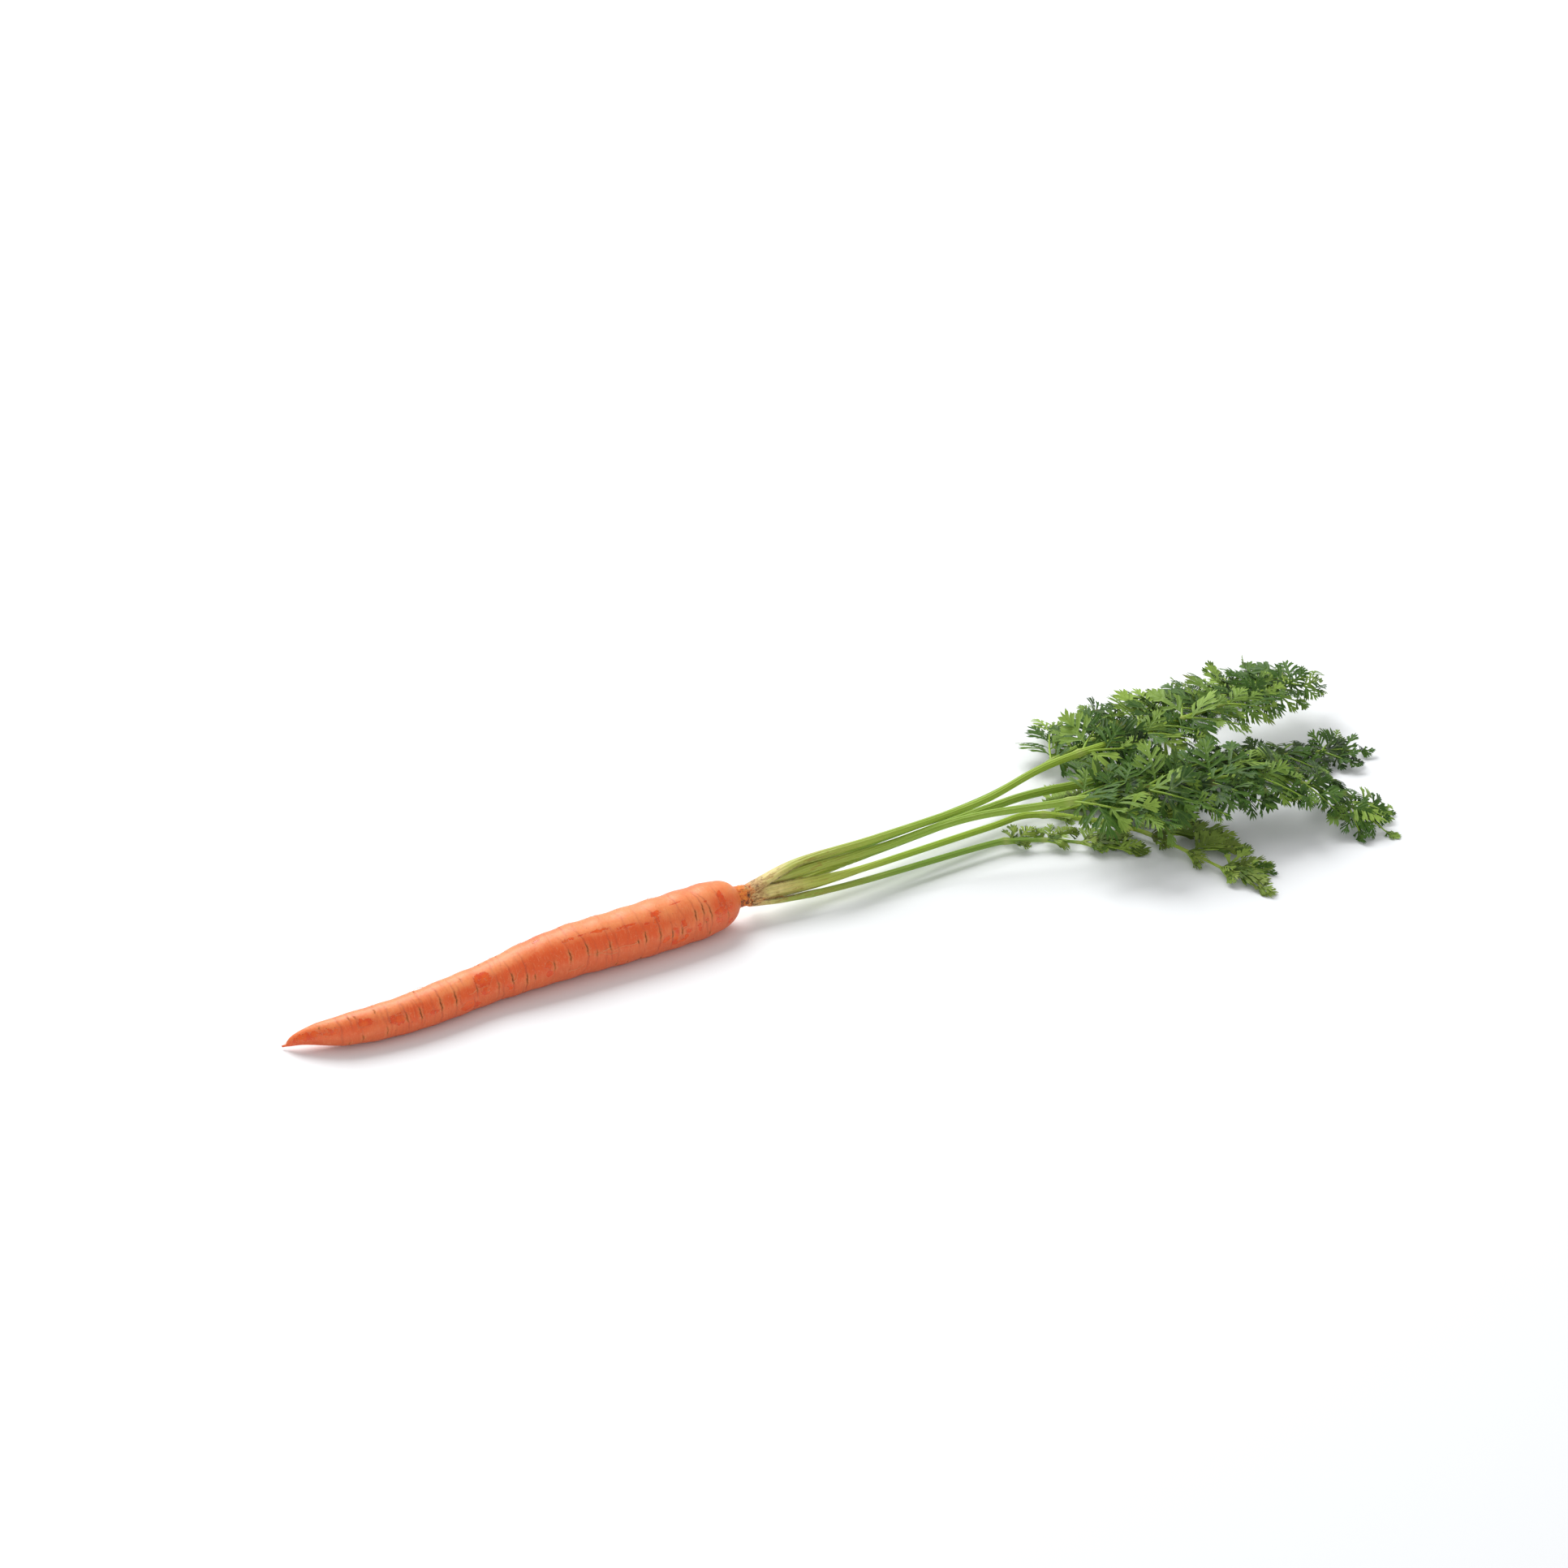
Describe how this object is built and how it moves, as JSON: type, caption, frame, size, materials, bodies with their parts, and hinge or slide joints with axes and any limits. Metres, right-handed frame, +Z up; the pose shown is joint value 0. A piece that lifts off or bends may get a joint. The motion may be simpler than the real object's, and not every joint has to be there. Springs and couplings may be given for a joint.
{
  "type": "carrot with leafy top",
  "caption": "Fresh orange carrot lying on its side: a long tapering root with a corky crown, and its feathery leaves on ribbed stalks.",
  "frame": {"origin": "middle of the small flat spot under the thick end of the root, on the surface that the carrot lies on", "axes": "+Z up; +X from the root's tip towards the leaves; +Y across the root"},
  "size_m": [0.5576, 0.1779, 0.0354],
  "materials": {
    "root_skin": "smooth damp orange skin with fine brown cross marks",
    "leaf_green": "soft satin green, paler on the stalks"
  },
  "bodies": {
    "root": {"carrot_root": "root_skin", "leaf_upper_back": "leaf_green", "leaf_upper_front": "leaf_green", "leaf_middle": "leaf_green", "leaf_front": "leaf_green", "leaf_front_short": "leaf_green", "leaf_back": "leaf_green"}
  },
  "joints": []
}
